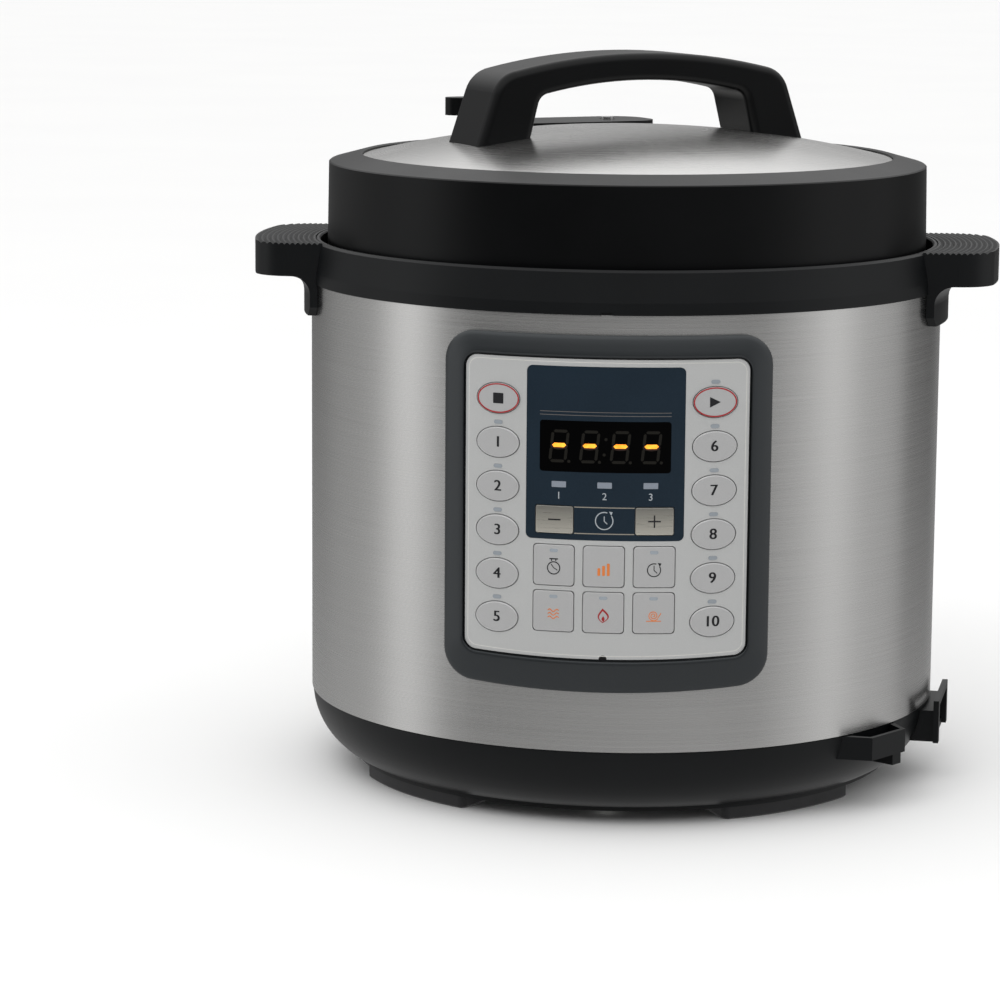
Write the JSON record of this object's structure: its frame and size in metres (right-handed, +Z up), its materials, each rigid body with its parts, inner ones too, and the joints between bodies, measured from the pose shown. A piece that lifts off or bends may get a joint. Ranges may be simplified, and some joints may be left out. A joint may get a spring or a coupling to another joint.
{
  "type": "electric pressure cooker",
  "caption": "Round steel electric pressure cooker with a bayonet lid, lift-out pot, sprung keys on a curved panel, two side handles and feet.",
  "frame": {"origin": "where the pot's axis meets the plane that the feet stand on", "axes": "+Z up along the pot's axis, the control panel faces -Y, the carrying handles are at -X and +X"},
  "size_m": [0.33, 0.3143, 0.32],
  "materials": {
    "shell_steel": "fine brushing round the body",
    "black_plastic": "satin moulded",
    "lid_plastic": "satin moulded",
    "bezel_plastic": "fine satin",
    "fascia_silver": "silver paint, fine metallic grain",
    "key_silver": "silver paint",
    "time_key_metal": "brushed",
    "window_navy": "printed lens",
    "display_black": "dark gloss",
    "lamp_lens": "frosted",
    "circuit_board": "solder mask",
    "vessel_aluminium": "as spun",
    "pot_steel": "polished and brushed",
    "cap_steel": "turned brushing",
    "sheet_steel": "zinc plated",
    "cast_aluminium": "turned",
    "heater_steel": "dark oxide",
    "spring_steel": "plain",
    "screw_steel": "zinc plated",
    "float_metal": "turned",
    "white_plastic": "plain",
    "silicone": "translucent",
    "foot_rubber": "matt",
    "collector_clear": "clear moulded"
  },
  "bodies": {
    "housing": {"outer_shell": "shell_steel", "base_cover": "black_plastic", "rubber_feet": "foot_rubber", "base_screws": "screw_steel", "upper_ring": "black_plastic", "panel_bezel": "bezel_plastic", "panel_fascia": "fascia_silver", "display_window": "window_navy", "signal_lamps": "lamp_lens", "led_display": "display_black", "control_board": "circuit_board", "pressure_vessel": "vessel_aluminium", "heat_shield": "sheet_steel", "heating_plate": "cast_aluminium", "heating_element": "heater_steel", "sensor_bracket": "sheet_steel", "sensor_spring": "spring_steel", "pressure_switch": "white_plastic", "thermal_fuse": "white_plastic", "power_board": "circuit_board", "side_pocket": "black_plastic", "accessory_bracket": "black_plastic", "power_inlet": "black_plastic", "collector_bracket": "black_plastic"},
    "gasket": {"sealing_ring": "silicone"},
    "lid": {"lid_cover": "lid_plastic", "pressure_lid": "pot_steel", "lid_cap": "cap_steel", "lid_handle": "lid_plastic", "gasket_rack": "pot_steel", "valve_pipe": "pot_steel", "anti_block_shield": "sheet_steel", "lid_screws": "screw_steel"},
    "pot": {"inner_pot": "pot_steel"},
    "float_pin": {"float_valve": "float_metal"},
    "steam_knob": {"steam_valve": "lid_plastic"},
    "sensor": {"temperature_sensor": "cast_aluminium"},
    "collector": {"condensation_collector": "collector_clear"},
    "button_cancel": {"button_cancel": "key_silver"},
    "button_rice": {"button_rice": "key_silver"},
    "button_multigrain": {"button_multigrain": "key_silver"},
    "button_soup": {"button_soup": "key_silver"},
    "button_stew": {"button_stew": "key_silver"},
    "button_poultry": {"button_poultry": "key_silver"},
    "button_start": {"button_start": "key_silver"},
    "button_fish": {"button_fish": "key_silver"},
    "button_steam": {"button_steam": "key_silver"},
    "button_beans": {"button_beans": "key_silver"},
    "button_yogurt": {"button_yogurt": "key_silver"},
    "button_porridge": {"button_porridge": "key_silver"},
    "key_manual": {"key_manual": "key_silver"},
    "key_adjust": {"key_adjust": "key_silver"},
    "key_delay": {"key_delay": "key_silver"},
    "key_keep_warm": {"key_keep_warm": "key_silver"},
    "key_sear": {"key_sear": "key_silver"},
    "key_slow_cook": {"key_slow_cook": "key_silver"},
    "key_minus": {"key_minus": "time_key_metal"},
    "key_plus": {"key_plus": "time_key_metal"}
  },
  "joints": [
    {"name": "lid_lift", "type": "slide", "parent": "housing", "child": "gasket", "axis": [0, 0, 1], "range_m": [0, 0.4]},
    {"name": "lid_turn", "type": "hinge", "parent": "gasket", "child": "lid", "pos_m": [0, 0, 0.24], "axis": [0, 0, 1], "range_deg": [-30, 0]},
    {"name": "pot_lift", "type": "slide", "parent": "housing", "child": "pot", "axis": [0, 0, 1], "range_m": [0, 0.18]},
    {"name": "float_rise", "type": "slide", "parent": "lid", "child": "float_pin", "axis": [0, 0, 1], "range_m": [0, 0.0035]},
    {"name": "steam_valve_turn", "type": "hinge", "parent": "lid", "child": "steam_knob", "pos_m": [-0.06038, 0.05059, 0.29], "axis": [0, 0, 1], "range_deg": [0, 45]},
    {"name": "sensor_press", "type": "slide", "parent": "housing", "child": "sensor", "axis": [0, 0, -1], "range_m": [0, 0.0018], "stiffness_N_per_m": 250, "springref_m": -0.003, "deforming": ["sensor_spring"]},
    {"name": "collector_slide", "type": "slide", "parent": "housing", "child": "collector", "axis": [0, 1, 0], "range_m": [0, 0.04]},
    {"name": "button_cancel_press", "type": "slide", "parent": "housing", "child": "button_cancel", "axis": [0, 1, 0], "range_m": [0, 0.0005], "stiffness_N_per_m": 400, "springref_m": -0.001},
    {"name": "button_rice_press", "type": "slide", "parent": "housing", "child": "button_rice", "axis": [0, 1, 0], "range_m": [0, 0.0005], "stiffness_N_per_m": 400, "springref_m": -0.001},
    {"name": "button_multigrain_press", "type": "slide", "parent": "housing", "child": "button_multigrain", "axis": [0, 1, 0], "range_m": [0, 0.0005], "stiffness_N_per_m": 400, "springref_m": -0.001},
    {"name": "button_soup_press", "type": "slide", "parent": "housing", "child": "button_soup", "axis": [0, 1, 0], "range_m": [0, 0.0005], "stiffness_N_per_m": 400, "springref_m": -0.001},
    {"name": "button_stew_press", "type": "slide", "parent": "housing", "child": "button_stew", "axis": [0, 1, 0], "range_m": [0, 0.0005], "stiffness_N_per_m": 400, "springref_m": -0.001},
    {"name": "button_poultry_press", "type": "slide", "parent": "housing", "child": "button_poultry", "axis": [0, 1, 0], "range_m": [0, 0.0005], "stiffness_N_per_m": 400, "springref_m": -0.001},
    {"name": "button_start_press", "type": "slide", "parent": "housing", "child": "button_start", "axis": [0, 1, 0], "range_m": [0, 0.0005], "stiffness_N_per_m": 400, "springref_m": -0.001},
    {"name": "button_fish_press", "type": "slide", "parent": "housing", "child": "button_fish", "axis": [0, 1, 0], "range_m": [0, 0.0005], "stiffness_N_per_m": 400, "springref_m": -0.001},
    {"name": "button_steam_press", "type": "slide", "parent": "housing", "child": "button_steam", "axis": [0, 1, 0], "range_m": [0, 0.0005], "stiffness_N_per_m": 400, "springref_m": -0.001},
    {"name": "button_beans_press", "type": "slide", "parent": "housing", "child": "button_beans", "axis": [0, 1, 0], "range_m": [0, 0.0005], "stiffness_N_per_m": 400, "springref_m": -0.001},
    {"name": "button_yogurt_press", "type": "slide", "parent": "housing", "child": "button_yogurt", "axis": [0, 1, 0], "range_m": [0, 0.0005], "stiffness_N_per_m": 400, "springref_m": -0.001},
    {"name": "button_porridge_press", "type": "slide", "parent": "housing", "child": "button_porridge", "axis": [0, 1, 0], "range_m": [0, 0.0005], "stiffness_N_per_m": 400, "springref_m": -0.001},
    {"name": "key_manual_press", "type": "slide", "parent": "housing", "child": "key_manual", "axis": [0, 1, 0], "range_m": [0, 0.0005], "stiffness_N_per_m": 400, "springref_m": -0.001},
    {"name": "key_adjust_press", "type": "slide", "parent": "housing", "child": "key_adjust", "axis": [0, 1, 0], "range_m": [0, 0.0005], "stiffness_N_per_m": 400, "springref_m": -0.001},
    {"name": "key_delay_press", "type": "slide", "parent": "housing", "child": "key_delay", "axis": [0, 1, 0], "range_m": [0, 0.0005], "stiffness_N_per_m": 400, "springref_m": -0.001},
    {"name": "key_keep_warm_press", "type": "slide", "parent": "housing", "child": "key_keep_warm", "axis": [0, 1, 0], "range_m": [0, 0.0005], "stiffness_N_per_m": 400, "springref_m": -0.001},
    {"name": "key_sear_press", "type": "slide", "parent": "housing", "child": "key_sear", "axis": [0, 1, 0], "range_m": [0, 0.0005], "stiffness_N_per_m": 400, "springref_m": -0.001},
    {"name": "key_slow_cook_press", "type": "slide", "parent": "housing", "child": "key_slow_cook", "axis": [0, 1, 0], "range_m": [0, 0.0005], "stiffness_N_per_m": 400, "springref_m": -0.001},
    {"name": "key_minus_press", "type": "slide", "parent": "housing", "child": "key_minus", "axis": [0, 1, 0], "range_m": [0, 0.0005], "stiffness_N_per_m": 400, "springref_m": -0.001},
    {"name": "key_plus_press", "type": "slide", "parent": "housing", "child": "key_plus", "axis": [0, 1, 0], "range_m": [0, 0.0005], "stiffness_N_per_m": 400, "springref_m": -0.001}
  ],
  "couplings": [
    {"joint": "pot_lift", "follows": "lid_lift", "ratio": 0.45}
  ]
}
